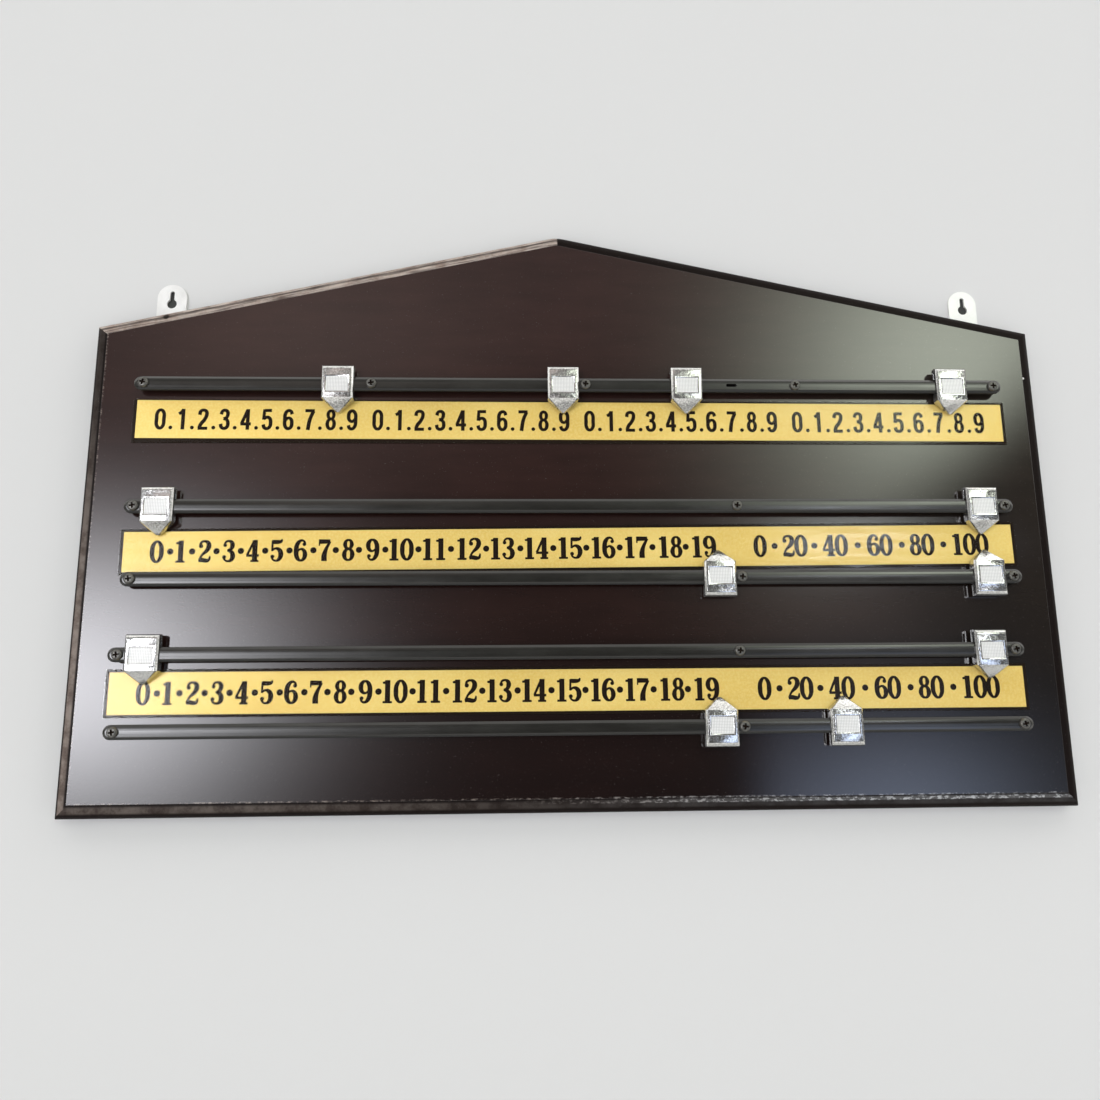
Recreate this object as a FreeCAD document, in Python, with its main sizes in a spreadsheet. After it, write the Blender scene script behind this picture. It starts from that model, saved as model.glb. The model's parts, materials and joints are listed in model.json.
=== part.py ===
import FreeCAD, Part
import os
import re
import Sketcher

# Wall-hung billiard scoreboard. Millimetres, +Z up, +X to the viewer's right, the face towards -Y.
# The origin is midway between the two keyholes, on the wall.

SIZES = {
    # backboard: a low gable whose apex stands a little left of the middle
    "board_wide": 760.0,
    "board_thick": 15.0,
    "shoulder_up": 382.0,
    "apex_up": 465.0,
    "apex_right": -12.0,
    "apex_round": 30.0,
    # routed edge: a sunk border with a quarter round along its outside
    "border_wide": 10.3,
    "border_deep": 1.6,
    "edge_round": 7.0,
    # keyhole hanger plates on the back of the board, with two countersunk holes each
    "plate_wide": 23.5,
    "plate_tall": 72.0,
    "plate_thick": 1.6,
    "keyhole_over_shoulder": 25.0,
    "keyhole_from_side": 49.5,
    "keyhole_round": 3.95,
    "keyhole_slot": 3.6,
    "keyhole_rise": 11.2,
    "plate_above_keyhole": 16.9,
    "plates_right": 3.0,
    "plate_hole": 3.1,
    "plate_hole_low": 9.0,
    "plate_holes_apart": 20.0,
    # slide rails: a flange with rounded ends on a narrower web
    "rail_long": 688.0,
    "rail_tall": 10.9,
    "rail_flange": 2.5,
    "rail_front": 8.3,
    "rail_web": 6.5,
    "rail_bevel": 2.0,
    "rail_bevel_deep": 0.7,
    "rail_hole": 3.6,
    "rail_slot_long": 8.5,
    "rail_slot_tall": 2.4,
    # height of each rail over the foot of the board, and its middle to the right of the board's
    "top_up": 329.3,
    "middle_upper_up": 230.6,
    "middle_lower_up": 174.4,
    "bottom_upper_up": 118.0,
    "bottom_lower_up": 61.9,
    "top_right": 1.9,
    "middle_upper_right": 1.6,
    "middle_lower_right": 3.1,
    "bottom_upper_right": -1.3,
    "bottom_lower_right": -0.2,
    # rail screws, measured from the middle of the rail
    "end_screw_in": 7.5,
    "top_screw_left": -160.6,
    "top_screw_middle": 8.1,
    "top_screw_right": 175.6,
    "top_slot": 124.7,
    "stop_screw": 124.6,
    "screw_head": 8.0,
    "screw_head_tall": 2.4,
    "screw_shank": 3.0,
    "screw_in_board": 10.0,
    # printed strips and their clear covers
    "strip_long": 690.0,
    "strip_tall": 31.5,
    "strip_thick": 0.4,
    "cover_long": 695.0,
    "cover_tall": 36.0,
    "cover_thick": 1.6,
    "strip_gap": 0.3,
    "strip_top_up": 300.8,
    "strip_middle_up": 198.9,
    "strip_bottom_up": 89.9,
    "strip_top_right": 3.2,
    "strip_middle_right": 1.3,
    "strip_bottom_right": -1.0,
    "strip_middle_tilt": 0.42,
    # pointers: castings whose lip and lugs hook behind the rail's flange
    "pointer_wide": 24.5,
    "pointer_face": 2.3,
    "pointer_to_lip": 15.0,
    "pointer_lip_round": 3.9,
    "pointer_wall": 1.8,
    "pointer_to_beak": 12.1,
    "pointer_to_tip": 21.9,
    "pointer_tip_wide": 3.2,
    "pointer_tip_thick": 1.0,
    "pointer_off_board": 2.6,
    "pointer_hook_thick": 2.1,
    "pointer_lug_wide": 3.0,
    "pointer_side_bevel": 1.4,
    "pointer_beak_bevel": 0.8,
    "pointer_pad_wide": 19.2,
    "pointer_pad_tall": 14.6,
    "pointer_pad_low": 0.9,
    "pointer_pad_raised": 0.3,
    "hook_grip": 1.45,
    "slide_gap": 0.3,
    # where the pointers rest, as the gap to the screw beside them
    "rest_top_1": 9.9,
    "rest_top_2": 1.5,
    "rest_top_3": 64.2,
    "rest_top_4": 17.5,
    "rest_middle_upper": 1.5,
    "rest_middle_lower_left": 0.6,
    "rest_middle_lower_right": 2.3,
    "rest_bottom_upper_left": 1.6,
    "rest_bottom_upper_right": 2.6,
    "rest_bottom_lower_left": 0.8,
    "rest_bottom_lower_right": 60.6,
}

# how near two places must be to count as one, and the slope of a countersink
TOUCH = 0.01
SINK_SLOPE = -45

V = FreeCAD.Vector
doc = FreeCAD.newDocument("BilliardScoreboard")
sheet = doc.addObject("Spreadsheet::Sheet", "Sizes")
for row, (word, amount) in enumerate(SIZES.items(), start=1):
    sheet.set("A%d" % row, word.replace("_", " "))
    sheet.set("B%d" % row, str(amount))
    sheet.setAlias("B%d" % row, word)
doc.recompute()

# Lines that several pieces share
SLOPE_LEFT = "((apex_up - shoulder_up) / (board_wide / 2 + apex_right))"
SLOPE_RIGHT = "((apex_up - shoulder_up) / (board_wide / 2 - apex_right))"
FLANGE_BACK = "(rail_front - rail_flange)"
FACE_BACK = "(rail_front + slide_gap)"
FACE_FRONT = "(rail_front + slide_gap + pointer_face)"
HOOK_FRONT = "(rail_front - rail_flange - slide_gap)"
HOOK_BACK = "(rail_front - rail_flange - slide_gap - pointer_hook_thick)"
CHANNEL = "(rail_tall / 2 + slide_gap)"
STAND_OFF = "((pointer_wide + screw_head) / 2)"
END_SCREW = "(rail_long / 2 - end_screw_in)"
KEYHOLE_UP = "(shoulder_up + keyhole_over_shoulder)"
KEYHOLE_OUT = "(board_wide / 2 - keyhole_from_side)"

RAILS = {
    "top": ["-" + END_SCREW, "top_screw_left", "top_screw_middle", "top_screw_right", END_SCREW],
    "middle_upper": ["-" + END_SCREW, "stop_screw", END_SCREW],
    "middle_lower": ["-" + END_SCREW, "stop_screw", END_SCREW],
    "bottom_upper": ["-" + END_SCREW, "stop_screw", END_SCREW],
    "bottom_lower": ["-" + END_SCREW, "stop_screw", END_SCREW],
}

# pointer: its rail, its place on the rail, and whether its beak points up
POINTERS = {
    "pointer_top_1": ("top", "top_screw_left - %s - rest_top_1" % STAND_OFF, False),
    "pointer_top_2": ("top", "top_screw_middle - %s - rest_top_2" % STAND_OFF, False),
    "pointer_top_3": ("top", "top_screw_middle + %s + rest_top_3" % STAND_OFF, False),
    "pointer_top_4": ("top", "%s - %s - rest_top_4" % (END_SCREW, STAND_OFF), False),
    "pointer_middle_upper_left": (
        "middle_upper", "-%s + %s + rest_middle_upper" % (END_SCREW, STAND_OFF), False),
    "pointer_middle_upper_right": (
        "middle_upper", "%s - %s - rest_middle_upper" % (END_SCREW, STAND_OFF), False),
    "pointer_middle_lower_left": (
        "middle_lower", "stop_screw - %s - rest_middle_lower_left" % STAND_OFF, True),
    "pointer_middle_lower_right": (
        "middle_lower", "%s - %s - rest_middle_lower_right" % (END_SCREW, STAND_OFF), True),
    "pointer_bottom_upper_left": (
        "bottom_upper", "-%s + %s + rest_bottom_upper_left" % (END_SCREW, STAND_OFF), False),
    "pointer_bottom_upper_right": (
        "bottom_upper", "%s - %s - rest_bottom_upper_right" % (END_SCREW, STAND_OFF), False),
    "pointer_bottom_lower_left": (
        "bottom_lower", "stop_screw - %s - rest_bottom_lower_left" % STAND_OFF, True),
    "pointer_bottom_lower_right": (
        "bottom_lower", "stop_screw + %s + rest_bottom_lower_right" % STAND_OFF, True),
}


def bound(text):
    """Point every size named in an expression at its cell."""
    def cell(found):
        word = found.group(0)
        return "Sizes." + word if word in SIZES else word
    return re.sub(r"[a-z][a-z_0-9]*", cell, text)


def amount_of(text):
    """The present amount of an expression in the sheet's words."""
    return float(sheet.evalExpression(bound(text)))


def new_body(name, right="0", front="0", up="0"):
    """A body whose place is measured from the foot of the board's middle and its front face."""
    body = doc.addObject("PartDesign::Body", name)
    body.Label = name
    body.AllowCompound = True
    body.setExpression("Placement.Base.x", bound("%s - plates_right" % right))
    body.setExpression("Placement.Base.y", bound("-(plate_thick + board_thick + %s)" % front))
    body.setExpression("Placement.Base.z", bound("%s - %s" % (up, KEYHOLE_UP)))
    return body


def new_sketch(body, name, role="XZ_Plane", out="0"):
    """A sketch on one of the body's own planes, moved out along the plane's normal."""
    sketch = body.newObject("Sketcher::SketchObject", name)
    plane = [item for item in body.Origin.OriginFeatures if item.Role == role][0]
    sketch.AttachmentSupport = [(plane, "")]
    sketch.MapMode = "FlatFace"
    sketch.setExpression("AttachmentOffset.Base.z", bound(out))
    return sketch


def constrain(sketch, rule, *items, text=None):
    """Add a constraint and bind its size, where it has one."""
    if text is None:
        sketch.addConstraint(Sketcher.Constraint(rule, *items))
        return
    number = sketch.addConstraint(Sketcher.Constraint(rule, *items, amount_of(text)))
    sketch.setExpression("Constraints[%d]" % number, bound(text))


def pin(sketch, item, spot, across, up):
    """Hold a point of the sketch at two distances from its origin."""
    constrain(sketch, "DistanceX", -1, 1, item, spot, text=across)
    constrain(sketch, "DistanceY", -1, 1, item, spot, text=up)


def draw_outline(sketch, corners):
    """A closed outline. A corner with a third entry starts an arc of that radius,
    which turns left on the way to the next corner."""
    places = [V(amount_of(corner[0]), amount_of(corner[1]), 0) for corner in corners]
    first = sketch.GeometryCount
    for count, corner in enumerate(corners):
        start = places[count]
        end = places[(count + 1) % len(places)]
        if len(corner) == 2:
            sketch.addGeometry(Part.LineSegment(start, end))
            continue
        radius = amount_of(corner[2])
        chord = end - start
        rise = max(radius * radius - chord.Length * chord.Length / 4, 0) ** 0.5
        side = V(-chord.y, chord.x, 0).normalize()
        middle = (start + end) / 2 + side * rise
        bulge = middle - side * radius
        sketch.addGeometry(Part.Arc(start, bulge, end))
    for count, corner in enumerate(corners):
        item = first + count
        following = first + (count + 1) % len(corners)
        constrain(sketch, "Coincident", item, 2, following, 1)
        pin(sketch, item, 1, corner[0], corner[1])
        if len(corner) == 3:
            constrain(sketch, "Radius", item, text=corner[2])


def draw_circle(sketch, across, up, radius):
    """A circle with its middle and radius bound."""
    middle = V(amount_of(across), amount_of(up), 0)
    item = sketch.addGeometry(Part.Circle(middle, V(0, 0, 1), amount_of(radius)))
    pin(sketch, item, 3, across, up)
    constrain(sketch, "Radius", item, text=radius)


def draw_bar(sketch, first, last, radius, upright=False):
    """A bar with round ends between two points on one line, the left or lower one first."""
    centres = [V(amount_of(across), amount_of(up), 0) for across, up in (first, last)]
    reach = amount_of(radius)
    side = V(-1, 0, 0) * reach if upright else V(0, 1, 0) * reach
    along = V(0, 1, 0) * reach if upright else V(1, 0, 0) * reach
    end_arc = sketch.addGeometry(Part.Arc(centres[1] - side, centres[1] + along, centres[1] + side))
    back = sketch.addGeometry(Part.LineSegment(centres[1] + side, centres[0] + side))
    start_arc = sketch.addGeometry(Part.Arc(centres[0] + side, centres[0] - along, centres[0] - side))
    forth = sketch.addGeometry(Part.LineSegment(centres[0] - side, centres[1] - side))
    for one, two in ((end_arc, back), (back, start_arc), (start_arc, forth), (forth, end_arc)):
        constrain(sketch, "Tangent", one, 2, two, 1)
    pin(sketch, end_arc, 3, *last)
    pin(sketch, start_arc, 3, *first)
    constrain(sketch, "Radius", end_arc, text=radius)


def draw_box(sketch, across, up, wide, tall):
    """A rectangle about a middle point."""
    left, right = ["%s %s (%s) / 2" % (across, sign, wide) for sign in "-+"]
    foot, head = ["%s %s (%s) / 2" % (up, sign, tall) for sign in "-+"]
    draw_outline(sketch, [(left, foot), (right, foot), (right, head), (left, head)])


def extrude(body, kind, name, sketch, length=None, middle=False, back=False):
    """A pad or pocket of a sketch; with no length it runs right through."""
    feature = body.newObject("PartDesign::" + kind, name)
    feature.Profile = sketch
    if length is None:
        feature.Type = "ThroughAll"
    else:
        feature.setExpression("Length", bound(length))
    if middle:
        feature.SideType = "Symmetric"
    feature.Reversed = back
    body.Tip = feature
    return feature


def edges_where(feature, test):
    """The names of the feature's edges whose middle point passes a test."""
    doc.recompute()
    return ["Edge%d" % (count + 1) for count, edge in enumerate(feature.Shape.Edges) if test(edge)]


def dress(body, kind, name, feature, edges, text):
    """A fillet or chamfer along edges of a feature."""
    dressed = body.newObject("PartDesign::" + kind, name)
    dressed.Base = (feature, edges)
    dressed.setExpression("Radius" if kind == "Fillet" else "Size", bound(text))
    body.Tip = dressed
    return dressed


def gable(inset):
    """The board's outline, or a line parallel to it further in."""
    steep_left = "sqrt(1 + %s ^ 2)" % SLOPE_LEFT
    steep_right = "sqrt(1 + %s ^ 2)" % SLOPE_RIGHT
    shift = "(%s * (%s - %s) / (%s + %s))" % (inset, steep_left, steep_right, SLOPE_LEFT, SLOPE_RIGHT)
    left = "-board_wide / 2 + %s" % inset
    right = "board_wide / 2 - %s" % inset
    return [
        (left, inset),
        (right, inset),
        (right, "shoulder_up + %s * (%s - %s)" % (inset, SLOPE_RIGHT, steep_right)),
        ("apex_right + %s" % shift,
         "apex_up + %s * %s - %s * %s" % (shift, SLOPE_LEFT, inset, steep_left)),
        (left, "shoulder_up + %s * (%s - %s)" % (inset, SLOPE_LEFT, steep_left)),
    ]


def lies_at(edge, depth):
    """Whether an edge lies wholly at one depth from the front."""
    return abs(edge.BoundBox.YMin - depth) < TOUCH and abs(edge.BoundBox.YMax - depth) < TOUCH


def make_backboard():
    body = new_body("backboard")
    base = new_sketch(body, "BoardOutline", out="-board_thick")
    draw_outline(base, gable("0"))
    slab = extrude(body, "Pad", "BoardSlab", base, "board_thick - border_deep")
    apex_x = amount_of("apex_right")
    ridge = edges_where(slab, lambda edge: abs(edge.CenterOfMass.x - apex_x) < TOUCH
                        and edge.CenterOfMass.z > TOUCH and edge.BoundBox.YLength > TOUCH)
    rounded = dress(body, "Fillet", "ApexRound", slab, ridge, "apex_round")
    front = amount_of("border_deep")
    arrises = edges_where(rounded, lambda edge: lies_at(edge, front))
    dress(body, "Fillet", "QuarterRound", rounded, arrises, "edge_round")
    field = new_sketch(body, "FieldOutline", out="-border_deep")
    draw_outline(field, gable("border_wide"))
    extrude(body, "Pad", "RaisedField", field, "border_deep")


def make_rail(rail):
    body = new_body("rail_" + rail, right="%s_right" % rail, up="%s_up" % rail)
    reach = "((rail_long - rail_tall) / 2)"
    web = new_sketch(body, "WebOutline_" + rail)
    draw_box(web, "0", "0", "rail_long - rail_tall + rail_web", "rail_web")
    extrude(body, "Pad", "Web_" + rail, web, FLANGE_BACK)
    flange = new_sketch(body, "FlangeOutline_" + rail, out=FLANGE_BACK)
    draw_bar(flange, ("-" + reach, "0"), (reach, "0"), "rail_tall / 2")
    plain = extrude(body, "Pad", "Flange_" + rail, flange, "rail_flange")
    front = -amount_of("rail_front")
    rim = edges_where(plain, lambda edge: lies_at(edge, front))
    bevel = body.newObject("PartDesign::Chamfer", "FlangeBevel_" + rail)
    bevel.Base = (plain, rim)
    bevel.ChamferType = "Two distances"
    bevel.setExpression("Size", bound("rail_bevel_deep"))
    bevel.setExpression("Size2", bound("rail_bevel"))
    body.Tip = bevel
    holes = new_sketch(body, "ScrewPlaces_" + rail)
    for screw in RAILS[rail]:
        draw_circle(holes, screw, "0", "rail_hole / 2")
    extrude(body, "Pocket", "ScrewHoles_" + rail, holes, back=True)
    if rail == "top":
        slot = new_sketch(body, "SpareSlot_" + rail)
        half = "(rail_slot_long - rail_slot_tall) / 2"
        draw_bar(slot, ("top_slot - " + half, "0"), ("top_slot + " + half, "0"), "rail_slot_tall / 2")
        extrude(body, "Pocket", "SlotThrough_" + rail, slot, back=True)


def make_rail_screws(rail):
    body = new_body("screws_%s_rail" % rail, right="%s_right" % rail, front="rail_front",
                    up="%s_up" % rail)
    shanks = new_sketch(body, "ShankPlaces_" + rail)
    for screw in RAILS[rail]:
        draw_circle(shanks, screw, "0", "screw_shank / 2")
    extrude(body, "Pad", "Shanks_" + rail, shanks, "rail_front + screw_in_board", back=True)
    heads = new_sketch(body, "HeadPlaces_" + rail)
    for screw in RAILS[rail]:
        draw_circle(heads, screw, "0", "screw_head / 2")
    extrude(body, "Pad", "Heads_" + rail, heads, "screw_head_tall")


def new_strip_body(name, level):
    """A body on the middle of one number strip; the middle strip is a little askew."""
    body = new_body(name, right="strip_%s_right" % level, up="strip_%s_up" % level)
    if level == "middle":
        turn = "create(<<rotation>>; create(<<vector>>; 0; -1; 0); strip_middle_tilt)"
        body.setExpression("Placement.Rotation", bound(turn))
    return body


def make_strip(level):
    body = new_strip_body("strip_" + level, level)
    card = new_sketch(body, "CardOutline_" + level)
    draw_box(card, "0", "0", "strip_long", "strip_tall")
    extrude(body, "Pad", "Card_" + level, card, "strip_thick")


def make_cover(level):
    body = new_strip_body("cover_" + level, level)
    sheet_outline = new_sketch(body, "CoverOutline_" + level)
    draw_box(sheet_outline, "0", "0", "cover_long", "cover_tall")
    extrude(body, "Pad", "CoverSheet_" + level, sheet_outline, "cover_thick")
    bed = new_sketch(body, "BedOutline_" + level)
    draw_box(bed, "0", "0", "strip_long + 2 * strip_gap", "strip_tall + 2 * strip_gap")
    extrude(body, "Pocket", "StripBed_" + level, bed, "strip_thick", back=True)


def make_pointer(name, rail, place, beak_up):
    body = new_body(name, right="%s_right + %s" % (rail, place), up="%s_up" % rail)
    if beak_up:
        body.Placement.Rotation = FreeCAD.Rotation(V(0, 1, 0), 180)
    # the side view: face, lip rolled round to hook behind the flange, channel for the rail, beak
    lip_line = "(pointer_to_lip - pointer_lip_round)"
    side = new_sketch(body, "SideView_" + name, role="YZ_Plane")
    draw_outline(side, [
        ("-%s" % HOOK_BACK, "pointer_to_lip"),
        ("-(%s - pointer_lip_round)" % FACE_FRONT, "pointer_to_lip", "pointer_lip_round"),
        ("-%s" % FACE_FRONT, lip_line),
        ("-%s" % FACE_FRONT, "-pointer_to_beak"),
        ("-(pointer_off_board + pointer_tip_thick)", "-pointer_to_tip"),
        ("-pointer_off_board", "-pointer_to_tip"),
        ("-pointer_off_board", "-%s" % CHANNEL),
        ("-%s" % FACE_BACK, "-%s" % CHANNEL),
        ("-%s" % FACE_BACK, "pointer_to_lip - pointer_wall"),
        ("-%s" % HOOK_FRONT, "pointer_to_lip - pointer_wall"),
        ("-%s" % HOOK_FRONT, "rail_tall / 2 - hook_grip"),
        ("-%s" % HOOK_BACK, "rail_tall / 2 - hook_grip"),
    ])
    extrude(body, "Pad", "Casting_" + name, side, "pointer_wide", middle=True)
    # the front view: the beak narrows to its tip
    corners = new_sketch(body, "BeakSides_" + name)
    for sign in ("-", "+"):
        draw_outline(corners, [
            ("%spointer_wide" % sign, "-pointer_to_beak"),
            ("%spointer_wide / 2" % sign, "-pointer_to_beak"),
            ("%spointer_tip_wide / 2" % sign, "-pointer_to_tip"),
            ("%spointer_tip_wide / 2" % sign, "-pointer_to_tip - pointer_wall"),
            ("%spointer_wide" % sign, "-pointer_to_tip - pointer_wall"),
        ])
    cut = extrude(body, "Pocket", "BeakCut_" + name, corners, back=True)
    beak_root = -amount_of("pointer_to_beak")
    tip_half = amount_of("pointer_tip_wide / 2")
    tip_front = -amount_of("pointer_off_board + pointer_tip_thick")
    slants = edges_where(cut, lambda edge: edge.CenterOfMass.z < beak_root - TOUCH
                         and edge.CenterOfMass.y < tip_front - TOUCH
                         and abs(edge.CenterOfMass.x) > tip_half + TOUCH)
    dress(body, "Chamfer", "BeakBevels_" + name, cut, slants, "pointer_beak_bevel")
    # bevels down both sides of the face
    bevels = new_sketch(body, "SideBevels_" + name, role="XY_Plane")
    for sign in ("-", "+"):
        face_edge = "%s(pointer_wide / 2 - pointer_side_bevel)" % sign
        draw_outline(bevels, [
            (face_edge, "-%s" % FACE_FRONT),
            ("%spointer_wide / 2" % sign, "-(%s - pointer_side_bevel)" % FACE_FRONT),
            ("%spointer_wide" % sign, "-(%s - pointer_side_bevel)" % FACE_FRONT),
            ("%spointer_wide" % sign, "-(%s + pointer_side_bevel)" % FACE_FRONT),
            (face_edge, "-(%s + pointer_side_bevel)" % FACE_FRONT),
        ])
    extrude(body, "Pocket", "BevelCut_" + name, bevels, "2 * (pointer_to_lip + pointer_to_tip)", middle=True)
    # the casting is hollow between the rail and the beak
    hollow = new_sketch(body, "Hollow_" + name, out="pointer_off_board")
    low = "-pointer_to_beak"
    high = "-(%s + pointer_wall)" % CHANNEL
    draw_box(hollow, "0", "(%s + %s) / 2" % (low, high), "pointer_wide - 2 * pointer_wall",
             "%s - (%s)" % (high, low))
    extrude(body, "Pocket", "HollowCut_" + name, hollow, "%s - pointer_off_board" % FACE_BACK, back=True)
    # lugs at both ends of the beak's side, behind the flange
    lugs = new_sketch(body, "LugPlaces_" + name, out="pointer_off_board")
    for sign in ("-", "+"):
        draw_box(lugs, "%s(pointer_wide - pointer_lug_wide) / 2" % sign, "-(%s - hook_grip / 2)" % CHANNEL,
                 "pointer_lug_wide", "hook_grip")
    extrude(body, "Pad", "Lugs_" + name, lugs, "%s - pointer_off_board" % HOOK_FRONT)
    # the raised pad for the thumb
    thumb = new_sketch(body, "ThumbOutline_" + name, out=FACE_FRONT)
    draw_box(thumb, "0", "-pointer_pad_low", "pointer_pad_wide", "pointer_pad_tall")
    extrude(body, "Pad", "ThumbPad_" + name, thumb, "pointer_pad_raised")


def make_hanger_plate(side, sign):
    body = new_body("hanger_plate_" + side, right="plates_right %s %s" % (sign, KEYHOLE_OUT),
                    front="-board_thick", up=KEYHOLE_UP)
    outline = new_sketch(body, "PlateOutline_" + side, out="-plate_thick")
    top = "plate_above_keyhole - plate_wide / 2"
    foot = "plate_above_keyhole - plate_tall + plate_wide / 2"
    draw_bar(outline, ("0", foot), ("0", top), "plate_wide / 2", upright=True)
    extrude(body, "Pad", "Plate_" + side, outline, "plate_thick")
    keyhole = new_sketch(body, "KeyholeRound_" + side)
    draw_circle(keyhole, "0", "0", "keyhole_round")
    extrude(body, "Pocket", "Keyhole_" + side, keyhole)
    slot = new_sketch(body, "KeyholeSlot_" + side)
    slot_top = "keyhole_rise - keyhole_slot / 2"
    draw_bar(slot, ("0", "0"), ("0", slot_top), "keyhole_slot / 2", upright=True)
    extrude(body, "Pocket", "Slot_" + side, slot)
    holes = new_sketch(body, "PlateHoles_" + side, out="-plate_thick")
    low = "plate_above_keyhole - plate_tall + plate_hole_low"
    for up in (low, low + " + plate_holes_apart"):
        draw_circle(holes, "0", up, "plate_hole / 2 + plate_thick")
    sinks = extrude(body, "Pocket", "Countersinks_" + side, holes, "plate_thick", back=True)
    sinks.TaperAngle = SINK_SLOPE


make_backboard()
for rail in RAILS:
    make_rail(rail)
    make_rail_screws(rail)
for level in ("top", "middle", "bottom"):
    make_strip(level)
    make_cover(level)
for name, (rail, place, beak_up) in POINTERS.items():
    make_pointer(name, rail, place, beak_up)
for side, sign in (("left", "-"), ("right", "+")):
    make_hanger_plate(side, sign)
doc.recompute()

for item in doc.Objects:
    if "Invalid" in item.State or "Error" in item.State:
        raise RuntimeError("%s could not be built" % item.Name)
bodies = [item for item in doc.Objects if item.TypeId == "PartDesign::Body"]
for body in bodies:
    if body.Shape.isNull() or not body.Shape.isValid():
        raise RuntimeError("%s has no valid shape" % body.Label)
os.makedirs("parts", exist_ok=True)
for body in bodies:
    body.Shape.exportStep("parts/%s.step" % body.Label)
    print(body.Label, len(body.Shape.Solids), round(body.Shape.Volume))
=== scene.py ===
import json
import math

import bpy
from mathutils import Matrix, Vector

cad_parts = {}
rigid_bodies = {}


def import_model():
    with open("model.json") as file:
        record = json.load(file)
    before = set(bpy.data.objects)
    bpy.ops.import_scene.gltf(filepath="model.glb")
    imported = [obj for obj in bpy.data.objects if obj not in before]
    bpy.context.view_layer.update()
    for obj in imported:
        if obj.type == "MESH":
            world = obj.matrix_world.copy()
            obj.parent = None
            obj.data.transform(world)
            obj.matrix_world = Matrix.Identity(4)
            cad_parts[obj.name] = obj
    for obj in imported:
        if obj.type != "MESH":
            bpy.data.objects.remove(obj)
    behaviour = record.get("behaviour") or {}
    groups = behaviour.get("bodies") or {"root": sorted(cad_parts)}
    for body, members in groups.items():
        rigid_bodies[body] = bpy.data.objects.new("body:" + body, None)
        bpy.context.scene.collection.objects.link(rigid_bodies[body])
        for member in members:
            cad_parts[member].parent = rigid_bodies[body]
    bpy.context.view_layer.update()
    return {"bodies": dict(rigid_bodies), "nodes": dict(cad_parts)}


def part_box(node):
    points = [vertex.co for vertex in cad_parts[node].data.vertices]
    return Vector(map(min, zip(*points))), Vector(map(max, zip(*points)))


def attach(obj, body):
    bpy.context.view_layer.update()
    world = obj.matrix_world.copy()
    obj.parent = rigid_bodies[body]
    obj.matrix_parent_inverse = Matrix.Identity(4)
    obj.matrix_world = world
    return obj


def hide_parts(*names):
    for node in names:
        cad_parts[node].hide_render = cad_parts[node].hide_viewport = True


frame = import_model()

# Wall-hung billiard scoreboard, in metres: the wall at y = 0, the viewer towards -y.
MM = 0.001
FACE = -16.6 * MM
RAIL_FRONT = FACE - 8.3 * MM
RAIL_HALF = 5.4 * MM
PAD_FRONT = FACE - 11.2 * MM
# the middle of the board, its foot, and its height in round figures
BOARD_X = -3 * MM
BOARD_Z = -407 * MM
BOARD_TALL = 0.47

RAILS = ("top", "middle_upper", "middle_lower", "bottom_upper", "bottom_lower")
LEVELS = ("top", "middle", "bottom")
POINTERS = [name for name in frame["bodies"] if name.startswith("pointer_")]
BEAK_UP = ("pointer_middle_lower_left", "pointer_middle_lower_right",
           "pointer_bottom_lower_left", "pointer_bottom_lower_right")


# Bench helpers

def pick(*objects):
    """Select just these objects and make the first one active."""
    bpy.ops.object.select_all(action="DESELECT")
    for item in objects:
        item.select_set(True)
    bpy.context.view_layer.objects.active = objects[0]


def set_down(piece):
    """Put the piece's place into its mesh."""
    pick(piece)
    bpy.ops.object.transform_apply(location=True, rotation=True, scale=True)


def mount(piece, name, body="board", finish=None):
    """Name a finished piece, give it its finish and let it ride on its body."""
    piece.name = name
    piece.data.name = name
    if finish:
        piece.data.materials.clear()
        piece.data.materials.append(finish)
    set_down(piece)
    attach(piece, body)
    return piece


def block(centre, size):
    bpy.ops.mesh.primitive_cube_add(size=1, location=centre)
    piece = bpy.context.object
    piece.scale = size
    set_down(piece)
    return piece


def copy_of(piece):
    twin = piece.copy()
    twin.data = piece.data.copy()
    bpy.context.collection.objects.link(twin)
    return twin


def join(pieces):
    pick(*pieces)
    bpy.ops.object.join()
    return bpy.context.object


def choose(piece, kind, test):
    """Go to edit mode with just the faces or edges selected that pass a test."""
    bpy.context.view_layer.objects.active = piece
    bpy.ops.object.mode_set(mode="OBJECT")
    mesh = piece.data
    for part in (mesh.vertices, mesh.edges, mesh.polygons):
        part.foreach_set("select", [False] * len(part))
    for item in (mesh.polygons if kind == "FACE" else mesh.edges):
        item.select = test(item)
    bpy.context.tool_settings.mesh_select_mode = (False, kind == "EDGE", kind == "FACE")
    bpy.ops.object.mode_set(mode="EDIT")


def to_bench():
    bpy.ops.object.mode_set(mode="OBJECT")


def apply_to(piece, kind, name, **settings):
    """Finish a piece with one modifier and apply it."""
    pick(piece)
    modifier = piece.modifiers.new(name, kind)
    for word, amount in settings.items():
        setattr(modifier, word, amount)
    bpy.ops.object.modifier_apply(modifier=name)


def middle_of(name):
    low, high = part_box(name)
    return (low + high) / 2


# Node helpers

def new_material(name):
    material = bpy.data.materials.new(name)
    material.use_nodes = True
    tree = material.node_tree
    return material, tree, tree.nodes["Principled BSDF"]


def add(tree, kind, inputs=None, **settings):
    node = tree.nodes.new(kind)
    for word, amount in settings.items():
        setattr(node, word, amount)
    for socket, amount in (inputs or {}).items():
        if isinstance(amount, bpy.types.NodeSocket):
            tree.links.new(amount, node.inputs[socket])
        else:
            node.inputs[socket].default_value = amount
    return node


def maths(tree, operation, *amounts):
    return add(tree, "ShaderNodeMath", dict(enumerate(amounts)), operation=operation).outputs[0]


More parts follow.
